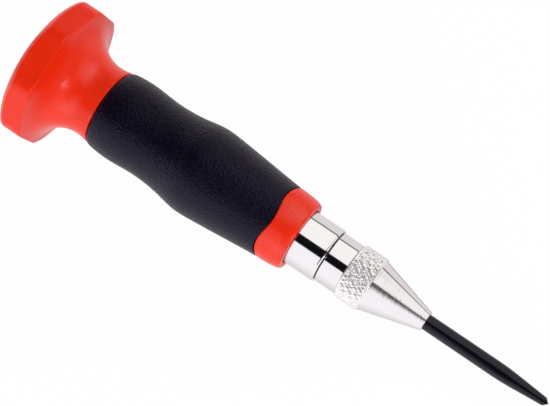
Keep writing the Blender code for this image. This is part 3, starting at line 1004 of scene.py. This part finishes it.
def make_floor():
    bm = bmesh.new()
    bmesh.ops.create_grid(bm, x_segments=1, y_segments=1, size=FLOOR_SIZE)
    mesh = bpy.data.meshes.new("floor")
    bm.to_mesh(mesh)
    bm.free()
    floor = bpy.data.objects.new("floor", mesh)
    bpy.context.scene.collection.objects.link(floor)
    floor.location = (point_x - flange_front * MM, 0.0, -FLOOR_DROP)
    floor.rotation_euler = (0.0, -FLOOR_TILT, 0.0)
    finish = Finish("pale_floor", base=(0.86, 0.85, 0.84), metallic=0.0, roughness=0.8)
    shine = finish.node("ShaderNodeEmission")
    paths = finish.node("ShaderNodeLightPath")
    share = finish.node("ShaderNodeMath", operation="MULTIPLY")
    share.inputs[1].default_value = FLOOR_WHITE
    mix = finish.node("ShaderNodeMixShader")
    finish.link(paths.outputs["Is Camera Ray"], share.inputs[0])
    finish.link(share.outputs["Value"], mix.inputs["Fac"])
    finish.link(finish.shader.outputs["BSDF"], mix.inputs[1])
    finish.link(shine.outputs["Emission"], mix.inputs[2])
    finish.surface(mix.outputs["Shader"])
    mesh.materials.append(finish.material)
    floor.visible_glossy = False


def make_surround():
    """World: plain light for the surfaces, pale walls and a dark strip overhead for the reflections."""
    world = bpy.data.worlds.new("studio")
    bpy.context.scene.world = world
    world.use_nodes = True
    tree = world.node_tree
    tree.nodes.clear()

    def node(kind, **settings):
        made = tree.nodes.new(kind)
        for key, value in settings.items():
            setattr(made, key, value)
        return made

    def link(source, target):
        tree.links.new(source, target)

    def worked(operation, first, second):
        made = node("ShaderNodeMath", operation=operation)
        link(first, made.inputs[0])
        link(second, made.inputs[1])
        return made.outputs["Value"]

    def ranged(source, start, end, low=0.0, high=1.0):
        made = node("ShaderNodeMapRange")
        made.inputs["From Min"].default_value = start
        made.inputs["From Max"].default_value = end
        made.inputs["To Min"].default_value = low
        made.inputs["To Max"].default_value = high
        link(source, made.inputs["Value"])
        return made.outputs["Result"]

    def covered(under, share, colour):
        made = node("ShaderNodeMix", data_type="RGBA")
        made.inputs["B"].default_value = (*colour, 1.0)
        link(share, made.inputs["Factor"])
        link(under, made.inputs["A"])
        return made.outputs["Result"]

    def either(share, first, second):
        made = node("ShaderNodeMixShader")
        link(share, made.inputs["Fac"])
        link(first, made.inputs[1])
        link(second, made.inputs[2])
        return made.outputs["Shader"]

    def plain(strength):
        made = node("ShaderNodeBackground")
        made.inputs["Color"].default_value = (1.0, 1.0, 1.0, 1.0)
        made.inputs["Strength"].default_value = strength
        return made.outputs["Background"]

    direction = node("ShaderNodeTexCoord")
    parts = node("ShaderNodeSeparateXYZ")
    link(direction.outputs["Generated"], parts.inputs["Vector"])
    ahead = parts.outputs["X"]
    around = worked("ARCTAN2", parts.outputs["Y"], parts.outputs["Z"])

    walls = node("ShaderNodeValToRGB")
    ramp = walls.color_ramp
    ramp.interpolation = "LINEAR"
    ramp.elements[0].color = (*SURROUND[0][1], 1.0)
    ramp.elements[-1].color = (*SURROUND[-1][1], 1.0)
    for degrees, colour in SURROUND[1:-1]:
        stop = ramp.elements.new((degrees + 180.0) / 360.0)
        stop.color = (*colour, 1.0)
    link(ranged(around, -math.pi, math.pi), walls.inputs["Fac"])

    # The left edge of the strip slants across to its right edge
    closing = ranged(ahead, *STRIP_CLOSING, 0.0, STRIP_RIGHT - STRIP_LEFT)
    left = ranged(worked("SUBTRACT", around, closing), STRIP_LEFT, STRIP_LEFT + STRIP_SOFT)
    right = ranged(around, STRIP_RIGHT, STRIP_RIGHT + STRIP_SOFT, 1.0, 0.0)
    colour = covered(walls.outputs["Color"], worked("MULTIPLY", left, right), STRIP_COLOUR)
    colour = covered(colour, ranged(ahead, *WALL_EDGE), WALL_COLOUR)
    colour = covered(colour, ranged(ahead, *ROOM_EDGE), ROOM_COLOUR)
    reflected = node("ShaderNodeBackground")
    link(colour, reflected.inputs["Color"])

    paths = node("ShaderNodeLightPath")
    glossy = worked("MAXIMUM", paths.outputs["Is Glossy Ray"], paths.outputs["Is Transmission Ray"])
    light = either(glossy, plain(PLAIN_LIGHT), reflected.outputs["Background"])
    out = node("ShaderNodeOutputWorld")
    link(either(paths.outputs["Is Camera Ray"], light, plain(1.0)), out.inputs["Surface"])


def lamp(name, place, size, power, colour, glossy):
    data = bpy.data.lights.new(name, "AREA")
    data.energy = power
    data.color = colour
    data.shape = "DISK"
    data.size = size
    obj = bpy.data.objects.new(name, data)
    obj.location = place
    obj.rotation_mode = "QUATERNION"
    obj.rotation_quaternion = Vector(place).to_track_quat("Z", "Y")
    obj.visible_glossy = glossy
    bpy.context.scene.collection.objects.link(obj)


def card(name, first_edge, second_edge, colour):
    """Flat card seen only as a reflection; each edge is an angle about the tool and two ends along it."""
    bm = bmesh.new()
    rows = []
    for degrees, ends in (first_edge, second_edge):
        angle = math.radians(degrees)
        reach = CARD_REACH / max(abs(math.sin(angle)), abs(math.cos(angle)))
        y = reach * math.sin(angle)
        z = axis_z + reach * math.cos(angle)
        rows.append([bm.verts.new((x, y, z)) for x in ends])
    bm.faces.new((*rows[0], *reversed(rows[1])))
    mesh = bpy.data.meshes.new(name)
    bm.to_mesh(mesh)
    bm.free()
    obj = bpy.data.objects.new(name, mesh)
    bpy.context.scene.collection.objects.link(obj)
    finish = Finish(name, colour, metallic=0.0, roughness=0.9)
    shine = finish.node("ShaderNodeEmission")
    shine.inputs["Color"].default_value = (*colour, 1.0)
    finish.surface(shine.outputs["Emission"])
    mesh.materials.append(finish.material)
    obj.visible_camera = False
    obj.visible_diffuse = False
    obj.visible_shadow = False


# Camera, from the photograph's view

VIEW_TILT = 0.17
VIEW_ROLL = math.radians(33.97)
VIEW_DISTANCE = 414.7
VIEW_CENTRE = (-4.82, 3.50)
FOCAL_PIXELS = 1624.0
IMAGE_WIDTH = 550.0
SENSOR = 36.0
CLIP_START = 0.01
CLIP_END = 50.0


def make_camera():
    back = Vector((math.sin(VIEW_TILT), 0.0, math.cos(VIEW_TILT)))
    along = Vector((math.cos(VIEW_TILT), 0.0, -math.sin(VIEW_TILT)))
    across = Vector((0.0, 1.0, 0.0))
    right = along * math.cos(VIEW_ROLL) + across * math.sin(VIEW_ROLL)
    up = across * math.cos(VIEW_ROLL) - along * math.sin(VIEW_ROLL)
    place = Vector((VIEW_CENTRE[0], VIEW_CENTRE[1], axis_z / MM)) + back * VIEW_DISTANCE
    data = bpy.data.cameras.new("camera")
    data.sensor_width = SENSOR
    data.lens = SENSOR * FOCAL_PIXELS / IMAGE_WIDTH
    data.clip_start = CLIP_START
    data.clip_end = CLIP_END
    camera = bpy.data.objects.new("camera", data)
    turn = Matrix((right, up, back)).transposed().to_4x4()
    camera.matrix_world = Matrix.Translation(place * MM) @ turn
    bpy.context.scene.collection.objects.link(camera)
    bpy.context.scene.camera = camera


make_floor()
make_surround()
for name, setting in CARDS.items():
    card(name, *setting)
for name, setting in LAMPS.items():
    lamp(name, *setting)
make_camera()
bpy.context.scene.view_settings.view_transform = "Standard"
